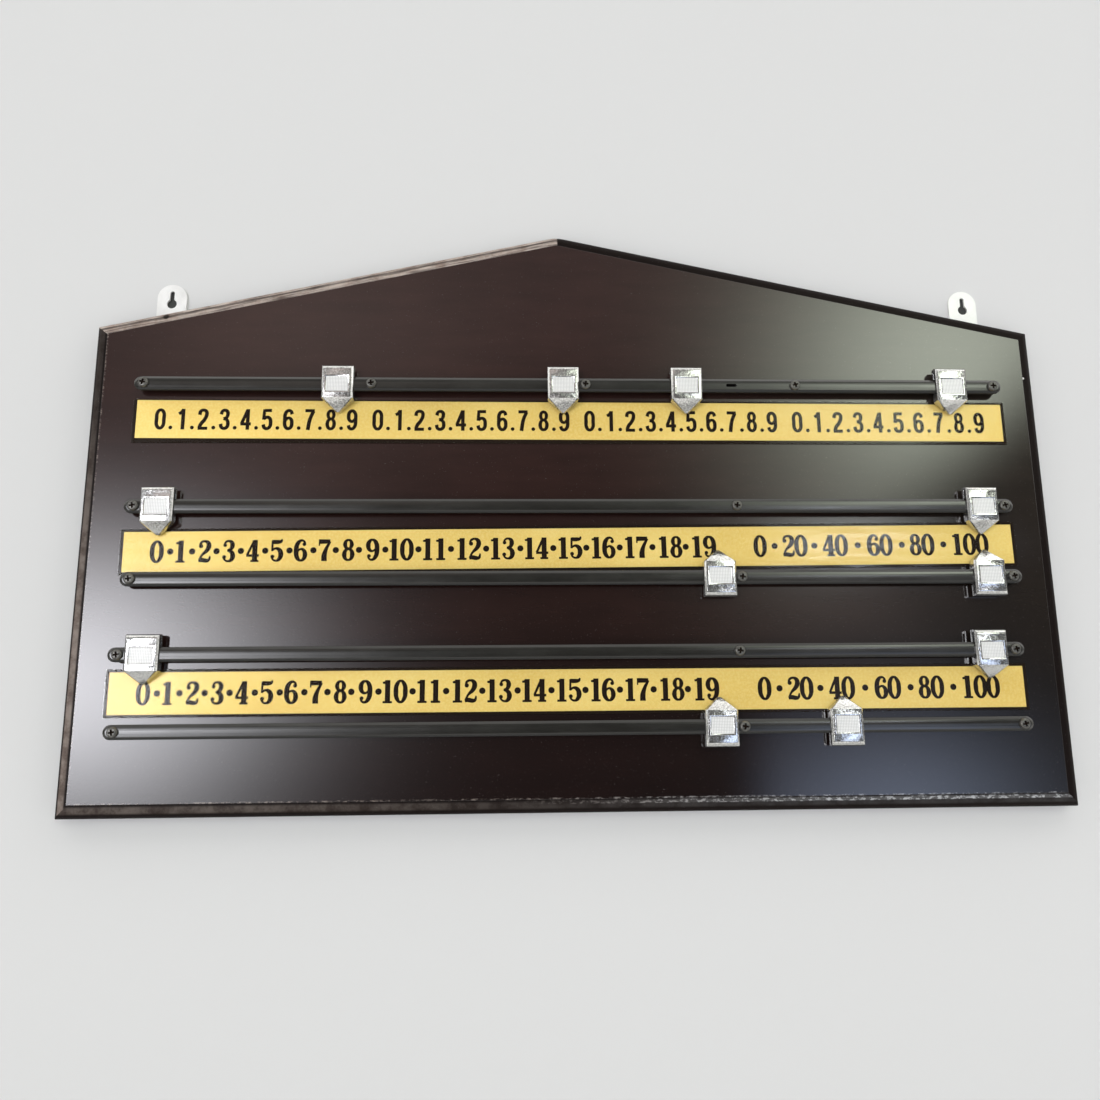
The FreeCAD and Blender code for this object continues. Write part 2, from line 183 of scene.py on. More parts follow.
def place_of(tree, scale=(1, 1, 1), turn=(0, 0, 0)):
    coordinates = add(tree, "ShaderNodeTexCoord")
    mapping = add(tree, "ShaderNodeMapping", {"Vector": coordinates.outputs["Object"], "Scale": scale,
                                              "Rotation": turn})
    return mapping.outputs[0]


def noise(tree, vector, scale, detail=3.0, rough=0.55):
    return add(tree, "ShaderNodeTexNoise", {"Vector": vector, "Scale": scale, "Detail": detail,
                                            "Roughness": rough}).outputs["Fac"]


def ramp(tree, factor, stops):
    """A colour or grey scale along a factor."""
    node = add(tree, "ShaderNodeValToRGB", {"Fac": factor})
    elements = node.color_ramp.elements
    while len(elements) < len(stops):
        elements.new(1)
    for element, (spot, colour) in zip(elements, stops):
        element.position = spot
        element.color = (*(colour if isinstance(colour, tuple) else (colour,) * 3), 1)
    return node.outputs["Color"]


def step(tree, amount, start, end, low=0.0, high=1.0):
    """A soft step of an amount between two values."""
    inputs = {"Value": amount, "From Min": start, "From Max": end, "To Min": low, "To Max": high}
    return add(tree, "ShaderNodeMapRange", inputs, interpolation_type="SMOOTHSTEP").outputs[0]


def blend_colour(tree, factor, first, second, kind="MIX"):
    node = add(tree, "ShaderNodeMix", {"Factor": factor}, data_type="RGBA", blend_type=kind)
    for socket, colour in ((6, first), (7, second)):
        if isinstance(colour, bpy.types.NodeSocket):
            tree.links.new(colour, node.inputs[socket])
        else:
            node.inputs[socket].default_value = (*colour, 1)
    return node.outputs[2]


def roughen(tree, shader, *layers):
    """Bumps one upon another, each a height, a strength and a depth in metres."""
    normal = None
    for height, strength, depth in layers:
        inputs = {"Height": height, "Strength": strength, "Distance": depth}
        if normal:
            inputs["Normal"] = normal
        normal = add(tree, "ShaderNodeBump", inputs).outputs["Normal"]
    tree.links.new(normal, shader.inputs["Normal"])


# Finishes

def distances_to_edge(tree):
    """How far a point of the board lies inside each edge of its gabled outline, in metres."""
    coordinates = add(tree, "ShaderNodeTexCoord")
    parts = add(tree, "ShaderNodeSeparateXYZ", {0: coordinates.outputs["Object"]})
    across = maths(tree, "SUBTRACT", parts.outputs["X"], BOARD_X)
    up = maths(tree, "SUBTRACT", parts.outputs["Z"], BOARD_Z)
    edges = {"left": maths(tree, "ADD", across, 0.380), "right": maths(tree, "SUBTRACT", 0.380, across),
             "bottom": up}
    for side, name, run in (("left", "left slope", 0.368), ("right", "right slope", 0.392)):
        slope = 0.083 / run
        under = maths(tree, "SUBTRACT", maths(tree, "MULTIPLY_ADD", edges[side], slope, 0.382), up)
        edges[name] = maths(tree, "DIVIDE", under, math.hypot(1, slope))
    nearest = edges["bottom"]
    for name in ("left", "right", "left slope", "right slope"):
        nearest = maths(tree, "MINIMUM", nearest, edges[name])
    near = {name: step(tree, maths(tree, "SUBTRACT", edge, nearest), 0.2 * MM, 0.6 * MM, 1.0, 0.0)
            for name, edge in edges.items()}
    return nearest, near, across, up


def band(tree, amount, centre, half, soft):
    """One inside a band about a centre, falling to nought over a soft margin."""
    off = maths(tree, "ABSOLUTE", maths(tree, "SUBTRACT", amount, centre))
    return step(tree, off, half, half + soft, 1.0, 0.0)


def spot(tree, across, up, centre, radius):
    """One near a point of the board's face, falling to nought at a radius."""
    off_x = maths(tree, "SUBTRACT", across, centre[0])
    off_z = maths(tree, "SUBTRACT", up, centre[1])
    off = maths(tree, "SQRT", maths(tree, "ADD", maths(tree, "MULTIPLY", off_x, off_x),
                                    maths(tree, "MULTIPLY", off_z, off_z)))
    return step(tree, off, radius * 0.5, radius, 1.0, 0.0)


def times(tree, *amounts):
    product = amounts[0]
    for amount in amounts[1:]:
        product = maths(tree, "MULTIPLY", product, amount)
    return product


def lacquered_board():
    material, tree, shader = new_material("dark lacquered board")
    inside, near, across, up = distances_to_edge(tree)
    field = step(tree, inside, 10.0 * MM, 10.5 * MM)
    # the board's colour is darkest at the foot and goes from red brown to a colder brown at the right
    warm = ramp(tree, maths(tree, "DIVIDE", up, BOARD_TALL),
                [(0.05, (0.0088, 0.0037, 0.0032)), (0.33, (0.020, 0.0085, 0.0069)),
                 (0.58, (0.0245, 0.0104, 0.0086)), (0.8, (0.027, 0.0117, 0.0100))])
    cold = ramp(tree, maths(tree, "DIVIDE", up, BOARD_TALL),
                [(0.05, (0.0060, 0.0046, 0.0040)), (0.33, (0.0135, 0.0098, 0.0078)),
                 (0.8, (0.022, 0.0165, 0.0125))])
    wood = blend_colour(tree, step(tree, across, 0.0, 0.34), warm, cold)
    grain = noise(tree, place_of(tree, (4, 30, 22)), 5.0, 7.0, 0.6)
    stain = noise(tree, place_of(tree), 9.0, 3.0, 0.6)
    shade = ramp(tree, maths(tree, "MULTIPLY_ADD", stain, 0.5, maths(tree, "MULTIPLY", grain, 0.5)),
                 [(0.35, 0.82), (0.65, 1.2)])
    wood = blend_colour(tree, 1.0, wood, shade, "MULTIPLY")
    wood = blend_colour(tree, field, (0.0085, 0.0052, 0.0045), wood)
    # the routed round is rubbed pale on the left slope; along the bead at the left side and the foot a pale
    # band is painted highlight, mottled like wear, fading away from the strong light low at the left
    patches = noise(tree, place_of(tree), 60.0, 4.0, 0.7)
    run = add(tree, "ShaderNodeCombineXYZ", {0: maths(tree, "MULTIPLY", across, 0.05), 1: inside}).outputs[0]
    streaks = noise(tree, run, 900.0, 3.0, 0.6)
    rubs = maths(tree, "MAXIMUM", band(tree, inside, 2.4 * MM, 1.5 * MM, 0.7 * MM),
                 maths(tree, "MAXIMUM", band(tree, inside, 7.9 * MM, 1.7 * MM, 0.6 * MM), 0.35))
    slope_wear = times(tree, near["left slope"], rubs, step(tree, inside, 10.4 * MM, 9.9 * MM),
                       step(tree, streaks, 0.36, 0.6, 0.35, 1.0))
    left_bead_highlight_and_wear = times(tree, near["left"], band(tree, inside, 5.6 * MM, 1.6 * MM, 1.6 * MM),
                      step(tree, patches, 0.25, 0.6, 0.5, 1.0), step(tree, up, 0.10, 0.34, 0.5, 0.06))
    left_part = step(tree, across, -0.36, 0.05, 1.0, 0.25)
    foot_bead_highlight_and_wear = times(tree, near["bottom"], band(tree, inside, 6.2 * MM, 1.4 * MM, 2.2 * MM), left_part,
                      step(tree, patches, 0.3, 0.65, 0.08, 0.22))
    right_part = step(tree, across, -0.1, 0.2)
    flecks = noise(tree, place_of(tree, (0.5, 1, 1)), 520.0, 3.0, 0.7)
    # a speckled line of painted highlight, broken like wear, along the bead at the right of the foot
    right_foot_highlight_and_wear_flecks = times(tree, near["bottom"], band(tree, inside, 8.2 * MM, 0.9 * MM, 0.8 * MM), right_part,
                       step(tree, flecks, 0.5, 0.6, 0.15, 0.75))
    arris = band(tree, inside, 10.9 * MM, 0.3 * MM, 0.7 * MM)
    foot_or_left = maths(tree, "MAXIMUM", near["bottom"], maths(tree, "MULTIPLY", near["left"], 0.8))
    arris_wear = times(tree, arris, foot_or_left, step(tree, flecks, 0.46, 0.7, 0.0, 0.4))
    lightening = slope_wear
    for wear in (left_bead_highlight_and_wear, foot_bead_highlight_and_wear, right_foot_highlight_and_wear_flecks, arris_wear):
        lightening = maths(tree, "MAXIMUM", lightening, wear)
    pale = blend_colour(tree, step(tree, patches, 0.35, 0.6), (0.36, 0.28, 0.24), (0.52, 0.44, 0.39))
    # at the right of the foot the pale marks turn bluish grey, a painted highlight of the bluish light low
    # at the right
    pale = blend_colour(tree, maths(tree, "MULTIPLY", near["bottom"], right_part), pale, (0.62, 0.63, 0.65))
    wood = blend_colour(tree, lightening, wood, pale)
    # a pit under the left hanger and a nick in the right edge
    pit = spot(tree, across, up, (-0.3255, 0.3895), 3.2 * MM)
    nick = spot(tree, across, up, (0.3705, 0.340), 2.6 * MM)
    dents = maths(tree, "MAXIMUM", pit, nick)
    wood = blend_colour(tree, maths(tree, "MULTIPLY", dents, 0.9), wood, (0.006, 0.004, 0.003))
    wood = blend_colour(tree, spot(tree, across, up, (0.3712, 0.3405), 1.1 * MM), wood, (0.8, 0.78, 0.75))
    specks = step(tree, noise(tree, place_of(tree), 1100.0, 1.0), 0.73, 0.79)
    wood = blend_colour(tree, maths(tree, "MULTIPLY", specks, 0.2), wood, (0.3, 0.28, 0.27))
    tree.links.new(wood, shader.inputs["Base Color"])
    shader.inputs["Roughness"].default_value = 0.5
    shader.inputs["Specular IOR Level"].default_value = 0.04
    tree.links.new(step(tree, field, 0.0, 1.0, 0.05, 1.0), shader.inputs["Coat Weight"])
    tree.links.new(step(tree, field, 0.0, 1.0, 0.35, 0.075), shader.inputs["Coat Roughness"])
    peel = noise(tree, place_of(tree), 800.0, 3.0, 0.6)
    roughen(tree, shader, (peel, 0.12, 0.00006), (specks, 0.3, 0.00006), (dents, 1.0, -0.0008))
    coat_normal = add(tree, "ShaderNodeBump", {"Height": peel, "Strength": 0.22, "Distance": 0.00006})
    tree.links.new(coat_normal.outputs["Normal"], shader.inputs["Coat Normal"])
    return material


def black_rail():
    material, tree, shader = new_material("black plastic rail")
    coordinates = add(tree, "ShaderNodeTexCoord")
    height = add(tree, "ShaderNodeSeparateXYZ", {0: coordinates.outputs["Object"]}).outputs["Z"]
    # how far up or down a point lies from the middle line of its own rail
    off = 0.0
    for rail in RAILS:
        gap = maths(tree, "SUBTRACT", height, middle_of("rail_" + rail).z)
        own = maths(tree, "LESS_THAN", maths(tree, "ABSOLUTE", gap), 7 * MM)
        off = maths(tree, "ADD", off, maths(tree, "MULTIPLY", gap, own))
    # the front is a little crowned, and painted shade darkens it along the foot
    part = maths(tree, "DIVIDE", off, RAIL_HALF)
    crown = maths(tree, "SUBTRACT", 1.0, times(tree, part, part, step(tree, off, -1 * MM, 1 * MM, 0.3, 1.0)))
    painted_foot_shade = step(tree, off, -3.6 * MM, -4.6 * MM)
    streaks = noise(tree, place_of(tree, (0.03, 1, 1)), 1400.0, 3.0)
    dust = noise(tree, place_of(tree, (0.25, 1, 1)), 90.0, 6.0, 0.7)
    shade = ramp(tree, dust, [(0.3, (0.0165, 0.0158, 0.0140)), (0.7, (0.028, 0.0272, 0.0243))])
    shade = blend_colour(tree, maths(tree, "MULTIPLY", painted_foot_shade, 0.75), shade, (0.006, 0.006, 0.0055))
    tree.links.new(shade, shader.inputs["Base Color"])
    tree.links.new(maths(tree, "MULTIPLY_ADD", painted_foot_shade, 0.4, step(tree, dust, 0.3, 0.75, 0.12, 0.2)),
                   shader.inputs["Roughness"])
    shader.inputs["Specular IOR Level"].default_value = 0.5
    roughen(tree, shader, (crown, 1.0, 0.00065), (streaks, 0.12, 0.00004))
    return material


def black_screw():
    material, tree, shader = new_material("blackened screw")
    rust = noise(tree, place_of(tree), 500.0, 4.0, 0.65)
    shade = ramp(tree, rust, [(0.3, (0.075, 0.073, 0.067)), (0.7, (0.17, 0.165, 0.15))])
    tree.links.new(shade, shader.inputs["Base Color"])
    tree.links.new(step(tree, rust, 0.3, 0.8, 0.3, 0.55), shader.inputs["Roughness"])
    shader.inputs["Metallic"].default_value = 0.7
    roughen(tree, shader, (rust, 0.25, 0.0001))
    return material


def gold_foil():
    material, tree, shader = new_material("printed gold foil")
    brushed = noise(tree, place_of(tree, (0.05, 1, 1.4)), 420.0, 4.0, 0.6)
    mottle = noise(tree, place_of(tree), 520.0, 3.0, 0.6)
    cloud = noise(tree, place_of(tree, (1, 1, 2)), 11.0, 3.0)
    shade = ramp(tree, cloud, [(0.3, (0.84, 0.58, 0.145)), (0.55, (0.91, 0.655, 0.18)),
                               (0.75, (0.96, 0.72, 0.23))])
    shade = blend_colour(tree, maths(tree, "MULTIPLY", step(tree, mottle, 0.4, 0.66), 0.3), shade,
                         (1.0, 0.82, 0.36))
    # the gold is painted brighter at the left end and a little darker beyond it: painted light of the strong
    # lamp at the left
    across = add(tree, "ShaderNodeSeparateXYZ", {0: place_of(tree)}).outputs["X"]
    lightening = step(tree, across, -0.33, -0.12, 1.07, 0.925)
    shade = add(tree, "ShaderNodeVectorMath", {0: shade, "Scale": lightening}, operation="SCALE").outputs[0]
    tree.links.new(shade, shader.inputs["Base Color"])
    shader.inputs["Metallic"].default_value = 0.12
    shader.inputs["Specular IOR Level"].default_value = 0.2
    tree.links.new(step(tree, brushed, 0.3, 0.75, 0.38, 0.52), shader.inputs["Roughness"])
    roughen(tree, shader, (brushed, 0.12, 0.00004))
    return material


def black_ink():
    material, tree, shader = new_material("black printing ink")
    shade = ramp(tree, noise(tree, place_of(tree), 700.0, 3.0),
                 [(0.3, (0.010, 0.006, 0.004)), (0.8, (0.024, 0.015, 0.010))])
    tree.links.new(shade, shader.inputs["Base Color"])
    shader.inputs["Roughness"].default_value = 0.6
    shader.inputs["Specular IOR Level"].default_value = 0.05
    return material


def clear_cover():
    """Clear sheet: it lets the strip show through and mirrors the room at its front."""
    material, tree, shader = new_material("clear plastic cover")
    ripple = noise(tree, place_of(tree, (0.7, 1, 4)), 16.0, 2.0)
    bump = add(tree, "ShaderNodeBump", {"Height": ripple, "Strength": 0.3, "Distance": 0.0005})
    waves = bump.outputs["Normal"]
    clear = add(tree, "ShaderNodeBsdfTransparent", {"Color": (0.985, 0.99, 0.98, 1)})
    shine = add(tree, "ShaderNodeBsdfGlossy", {"Color": (1, 1, 1, 1), "Roughness": 0.04, "Normal": waves})
    fresnel = add(tree, "ShaderNodeFresnel", {"IOR": 1.49, "Normal": waves}).outputs[0]
    back = add(tree, "ShaderNodeNewGeometry").outputs["Backfacing"]
    # dulled by handling but for the left end and a stretch at the right, which still shine
    across = add(tree, "ShaderNodeSeparateXYZ", {0: place_of(tree)}).outputs["X"]
    polish = maths(tree, "MULTIPLY_ADD", band(tree, across, 0.222, 0.04, 0.06), 0.33, 0.12)
    polish = maths(tree, "ADD", polish, step(tree, across, -0.25, -0.335, 0.0, 0.24))
    amount = times(tree, fresnel, polish, maths(tree, "SUBTRACT", 1.0, back))
    both = add(tree, "ShaderNodeMixShader", {0: amount, 1: clear.outputs[0], 2: shine.outputs[0]})
    tree.links.new(both.outputs[0], tree.nodes["Material Output"].inputs["Surface"])
    tree.nodes.remove(shader)
    return material


def chromed_casting():
    material, tree, shader = new_material("chromed casting")
    cloud = noise(tree, place_of(tree), 300.0, 2.0, 0.5)
    pits = noise(tree, place_of(tree), 900.0, 3.0, 0.6)
    tree.links.new(ramp(tree, pits, [(0.3, (0.40, 0.40, 0.39)), (0.7, (0.80, 0.80, 0.785))]),
                   shader.inputs["Base Color"])
    tree.links.new(step(tree, pits, 0.3, 0.75, 0.12, 0.26), shader.inputs["Roughness"])
    shader.inputs["Metallic"].default_value = 0.92
    roughen(tree, shader, (cloud, 0.6, 0.0003), (pits, 0.2, 0.00004))
    return material


def frosted_pad():
    """The knurled pad: pale on the points, with painted shade down in the grooves."""
    material, tree, shader = new_material("frosted thumb pad")
    coordinates = add(tree, "ShaderNodeTexCoord")
    depth = add(tree, "ShaderNodeSeparateXYZ", {0: coordinates.outputs["Object"]}).outputs["Y"]
    cloud = noise(tree, place_of(tree), 420.0, 4.0, 0.6)
    pale = ramp(tree, cloud, [(0.3, (0.92, 0.92, 0.91)), (0.7, (1.0, 1.0, 0.99))])
    painted_groove_shade = step(tree, depth, PAD_FRONT + 0.2 * MM, PAD_FRONT + 0.38 * MM)
    tree.links.new(blend_colour(tree, painted_groove_shade, pale, (0.55, 0.55, 0.54)), shader.inputs["Base Color"])
    shader.inputs["Metallic"].default_value = 0.12
    tree.links.new(step(tree, cloud, 0.3, 0.75, 0.35, 0.55), shader.inputs["Roughness"])
    roughen(tree, shader, (cloud, 0.3, 0.0001))
    return material


def zinc_plate():
    material, tree, shader = new_material("zinc plated hanger")
    cloud = noise(tree, place_of(tree), 120.0, 4.0, 0.6)
    tree.links.new(ramp(tree, cloud, [(0.3, (0.80, 0.80, 0.785)), (0.7, (0.90, 0.90, 0.885))]),
                   shader.inputs["Base Color"])
    tree.links.new(step(tree, cloud, 0.3, 0.75, 0.35, 0.5), shader.inputs["Roughness"])
    shader.inputs["Metallic"].default_value = 0.25
    roughen(tree, shader, (cloud, 0.15, 0.00008))
    return material


LACQUER = lacquered_board()
RAIL = black_rail()
SCREW = black_screw()
GOLD = gold_foil()
INK = black_ink()
CLEAR = clear_cover()
CHROME = chromed_casting()
FROST = frosted_pad()
ZINC = zinc_plate()


def finish_node(name, finish, edge=None):
    """Give a solid its finish and, where a width is given, softly rounded edges."""
    node = frame["nodes"][name]
    node.data.materials.clear()
    node.data.materials.append(finish)
    if edge:
        weld = node.modifiers.new("weld", "WELD")
        weld.merge_threshold = 1e-6
        soft = node.modifiers.new("soft edges", "BEVEL")
        soft.width = edge
        soft.segments = 2
        soft.limit_method = "ANGLE"
        soft.angle_limit = math.radians(30)


# Numerals. Each is drawn with a flat pen, one unit tall: strokes of (across, up, width), and round ends
# of (across, up, radius). A stroke marked True runs back into its start.

SANS = {
    "0": ([(True, [(-0.165, 0.5, 0.135), (-0.12, 0.86, 0.125), (0, 0.94, 0.115), (0.12, 0.86, 0.125),
                   (0.165, 0.5, 0.135), (0.12, 0.14, 0.125), (0, 0.06, 0.115), (-0.12, 0.14, 0.125)])], []),
    "1": ([(False, [(0.06, 0, 0.135), (0.06, 1, 0.135)]),
           (False, [(0.04, 0.93, 0.12), (-0.04, 0.82, 0.12), (-0.14, 0.755, 0.12)])], []),
    "2": ([(False, [(-0.165, 0.71, 0.13), (-0.13, 0.88, 0.125), (0, 0.94, 0.12), (0.13, 0.88, 0.125),
                    (0.155, 0.72, 0.135), (0.06, 0.47, 0.135), (-0.09, 0.27, 0.135), (-0.165, 0.07, 0.13)]),
           (False, [(-0.225, 0.06, 0.12), (0.215, 0.06, 0.12)])], []),
    "3": ([(False, [(-0.16, 0.74, 0.13), (-0.11, 0.89, 0.12), (0, 0.94, 0.12), (0.12, 0.87, 0.13),
                    (0.14, 0.73, 0.135), (0.08, 0.58, 0.12), (-0.05, 0.53, 0.11)]),
           (False, [(-0.05, 0.53, 0.11), (0.1, 0.48, 0.12), (0.165, 0.29, 0.135), (0.12, 0.12, 0.13),
                    (0, 0.06, 0.12), (-0.12, 0.11, 0.125), (-0.17, 0.28, 0.13)])], []),
    "4": ([(False, [(0.07, 0.97, 0.12), (-0.19, 0.28, 0.12)]),
           (False, [(-0.24, 0.28, 0.12), (0.24, 0.28, 0.12)]),
           (False, [(0.09, 0, 0.13), (0.09, 1, 0.13)])], []),
    "5": ([(False, [(-0.13, 0.94, 0.12), (0.2, 0.94, 0.12)]),
           (False, [(-0.13, 1, 0.115), (-0.165, 0.49, 0.115)]),
           (False, [(-0.15, 0.52, 0.11), (-0.02, 0.61, 0.12), (0.11, 0.56, 0.13), (0.165, 0.34, 0.135),
                    (0.12, 0.13, 0.13), (0, 0.06, 0.12), (-0.12, 0.11, 0.125), (-0.17, 0.26, 0.13)])], []),
    "6": ([(False, [(0.16, 0.76, 0.13), (0.11, 0.9, 0.12), (0, 0.94, 0.12), (-0.12, 0.85, 0.13),
                    (-0.165, 0.5, 0.135), (-0.12, 0.14, 0.13), (0, 0.06, 0.12), (0.12, 0.13, 0.13),
                    (0.16, 0.32, 0.135), (0.12, 0.51, 0.125), (0, 0.58, 0.11), (-0.13, 0.47, 0.1)])], []),
    "7": ([(False, [(-0.215, 0.94, 0.12), (0.22, 0.94, 0.12)]),
           (False, [(0.17, 0.92, 0.13), (0.02, 0.55, 0.135), (-0.07, 0, 0.14)])], []),
    "8": ([(True, [(-0.135, 0.74, 0.125), (0, 0.94, 0.115), (0.135, 0.74, 0.125), (0, 0.545, 0.1)]),
           (True, [(-0.16, 0.3, 0.135), (0, 0.535, 0.1), (0.16, 0.3, 0.135), (0, 0.06, 0.115)])], []),
}
SLAB = {
    "0": ([(True, [(-0.205, 0.5, 0.17), (-0.15, 0.83, 0.14), (0, 0.965, 0.085), (0.15, 0.83, 0.14),
                   (0.205, 0.5, 0.17), (0.15, 0.17, 0.14), (0, 0.035, 0.085), (-0.15, 0.17, 0.14)])], []),
    "1": ([(False, [(0.02, 0.04, 0.18), (0.02, 1, 0.18)]),
           (False, [(-0.19, 0.035, 0.075), (0.22, 0.035, 0.075)]),
           (False, [(0.0, 0.95, 0.1), (-0.09, 0.895, 0.09), (-0.2, 0.885, 0.07)])], []),
    "2": ([(False, [(-0.225, 0.74, 0.06), (-0.16, 0.9, 0.09), (0, 0.962, 0.085), (0.15, 0.88, 0.15),
                    (0.18, 0.72, 0.18), (0.1, 0.54, 0.15), (-0.1, 0.33, 0.085), (-0.225, 0.1, 0.07)]),
           (False, [(-0.25, 0.06, 0.1), (-0.1, 0.1, 0.16), (0.08, 0.07, 0.15), (0.19, 0.09, 0.11),
                    (0.25, 0.28, 0.05)])],
          [(-0.165, 0.74, 0.095)]),
    "3": ([(False, [(-0.215, 0.77, 0.05), (-0.13, 0.92, 0.08), (0, 0.962, 0.08), (0.13, 0.89, 0.14),
                    (0.16, 0.755, 0.17), (0.1, 0.6, 0.13), (-0.06, 0.53, 0.07)]),
           (False, [(-0.06, 0.53, 0.07), (0.12, 0.46, 0.14), (0.19, 0.28, 0.18), (0.13, 0.1, 0.14),
                    (0, 0.038, 0.08), (-0.15, 0.09, 0.07), (-0.235, 0.23, 0.05)])],
          [(-0.165, 0.775, 0.085), (-0.185, 0.225, 0.09)]),
    "4": ([(False, [(0.06, 0.98, 0.09), (-0.25, 0.3, 0.085)]),
           (False, [(-0.28, 0.285, 0.09), (0.28, 0.285, 0.09)]),
           (False, [(0.09, 0.04, 0.18), (0.09, 1, 0.18)]),
           (False, [(-0.09, 0.035, 0.075), (0.27, 0.035, 0.075)])], []),
    "5": ([(False, [(-0.2, 0.905, 0.15), (0.05, 0.9, 0.15), (0.19, 0.93, 0.11), (0.235, 1.03, 0.05)]),
           (False, [(-0.19, 0.97, 0.075), (-0.2, 0.48, 0.075)]),
           (False, [(-0.2, 0.5, 0.06), (-0.06, 0.6, 0.085), (0.11, 0.54, 0.15), (0.19, 0.33, 0.18),
                    (0.12, 0.11, 0.14), (0, 0.038, 0.08), (-0.15, 0.09, 0.07), (-0.235, 0.23, 0.05)])],
          [(-0.18, 0.225, 0.09)]),
    "6": ([(False, [(0.215, 0.79, 0.05), (0.14, 0.92, 0.075), (0.02, 0.96, 0.09), (-0.13, 0.84, 0.15),
                    (-0.2, 0.5, 0.18), (-0.14, 0.15, 0.15), (0.01, 0.038, 0.08), (0.15, 0.13, 0.14),
                    (0.195, 0.31, 0.17), (0.14, 0.49, 0.13), (0.01, 0.565, 0.08), (-0.13, 0.47, 0.06)])],
          [(0.155, 0.785, 0.085)]),
    "7": ([(False, [(-0.24, 0.9, 0.17), (0.24, 0.9, 0.15)]),
           (False, [(-0.245, 1, 0.05), (-0.245, 0.7, 0.05)]),
           (False, [(0.24, 0.9, 0.08), (0.06, 0.55, 0.13), (-0.02, 0.25, 0.19), (-0.02, 0, 0.2)])], []),
    "8": ([(True, [(-0.15, 0.755, 0.15), (0, 0.965, 0.075), (0.15, 0.755, 0.15), (0, 0.56, 0.085)]),
           (True, [(-0.18, 0.285, 0.17), (0, 0.545, 0.085), (0.18, 0.285, 0.17), (0, 0.035, 0.075)])], []),
}
FIGURE_TALL = 16.9 * MM
INK_DEEP = 0.03
PEN_WIDTH = 1.27


def flat_pen():
    """The section that the strokes are drawn with: a thin bar one unit wide."""
    data = bpy.data.curves.new("pen", "CURVE")
    data.dimensions = "2D"
    bar = data.splines.new("POLY")
    bar.points.add(3)
    corners = ((-0.5, -INK_DEEP), (0.5, -INK_DEEP), (0.5, INK_DEEP), (-0.5, INK_DEEP))
    for point, corner in zip(bar.points, corners):
        point.co = (*corner, 0, 1)
    bar.use_cyclic_u = True
    pen = bpy.data.objects.new("pen", data)
    bpy.context.collection.objects.link(pen)
    return pen


def draw_figure(pen, strokes, rounds):
    """One figure lying on its back, its middle at the origin."""
    data = bpy.data.curves.new("figure", "CURVE")
    data.dimensions = "2D"
    data.fill_mode = "NONE"
    data.bevel_mode = "OBJECT"
    data.bevel_object = pen
    data.use_fill_caps = True
    data.resolution_u = 6
    for closed, knots in strokes:
        line = data.splines.new("BEZIER")
        line.bezier_points.add(len(knots) - 1)
        for point, (across, up, wide) in zip(line.bezier_points, knots):
            point.co = (across, up - 0.5, 0)
            point.radius = wide * PEN_WIDTH
            point.handle_left_type = point.handle_right_type = "AUTO"
        line.use_cyclic_u = closed
    figure = bpy.data.objects.new("figure", data)
    bpy.context.collection.objects.link(figure)
    pick(figure)
    bpy.ops.object.convert(target="MESH")
    figure = bpy.context.object
    drops = [figure]
    for across, up, radius in rounds:
        drops.append(ink_dot(across, up - 0.5, radius))
    return join(drops)


def ink_dot(across, up, radius):
    bpy.ops.mesh.primitive_cylinder_add(vertices=20, radius=radius, depth=2 * INK_DEEP,
                                        location=(across, up, 0))
    dot = bpy.context.object
    set_down(dot)
    return dot


def draw_figures(pen, shapes):
    """All ten figures of one lettering; the nine is the six stood on its head."""
    figures = {}
    for digit, (strokes, rounds) in shapes.items():
        figures[digit] = draw_figure(pen, strokes, rounds)
    nine = copy_of(figures["6"])
    nine.rotation_euler = (0, 0, math.pi)
    set_down(nine)
    figures["9"] = nine
    return figures


def print_words(figures, words, advance):
    """Copies of the figures standing along a strip's middle line."""
    printed = []
    for word, across in words:
        for count, digit in enumerate(word):
            place = across + (count - (len(word) - 1) / 2) * advance
            twin = copy_of(figures[digit])
            twin.location = (place, 0, 0)
            twin.rotation_euler = (math.radians(90), 0, 0)
            twin.scale = (FIGURE_TALL, FIGURE_TALL, 1 * MM)
            set_down(twin)
            printed.append(twin)
    return printed


def print_dots(places, height, radius):
    dots = []
    for across in places:
        bpy.ops.mesh.primitive_cylinder_add(vertices=20, radius=radius, depth=0.06 * MM,
                                            location=(across, 0, height),
                                            rotation=(math.radians(90), 0, 0))
        dots.append(bpy.context.object)
    return dots


# the four runs of the top strip, first and last figure of each
TENS = ((-323.0, -174.3), (-154.1, -7.0), (13.3, 159.8), (180.4, 328.9))
# the counting strip, and the dots between its numbers
COUNTS = (("0", -319.4), ("1", -301.8), ("2", -283.6), ("3", -265.5), ("4", -247.3), ("5", -229.3),
          ("6", -211.1), ("7", -192.9), ("8", -175.0), ("9", -156.6), ("10", -135.4), ("11", -109.7),
          ("12", -83.4), ("13", -57.6), ("14", -31.4), ("15", -5.3), ("16", 20.4), ("17", 46.4),
          ("18", 72.9), ("19", 98.9), ("0", 143.8), ("20", 171.0), ("40", 203.0), ("60", 238.6),
          ("80", 272.0), ("100", 310.4))
COUNT_DOTS = (-309.3, -292.9, -274.6, -256.3, -237.9, -219.6, -201.5, -184.5, -166.9, -146.8, -121.5,
              -96.6, -69.6, -43.2, -17.8, 7.8, 33.8, 59.3, 85.3, 155.2, 186.6, 221.1, 256.2, 289.4)


def print_tens(figures):
    words, dots = [], []
    for first, last in TENS:
        pitch = (last - first) / 9
        words += [(str(digit), (first - 3.2 + pitch * digit) * MM) for digit in range(10)]
        dots += [(first - 3.2 + pitch * (digit + 0.5)) * MM for digit in range(9)]
    return join(print_words(figures, words, 0) + print_dots(dots, -6.9 * MM, 1.5 * MM))


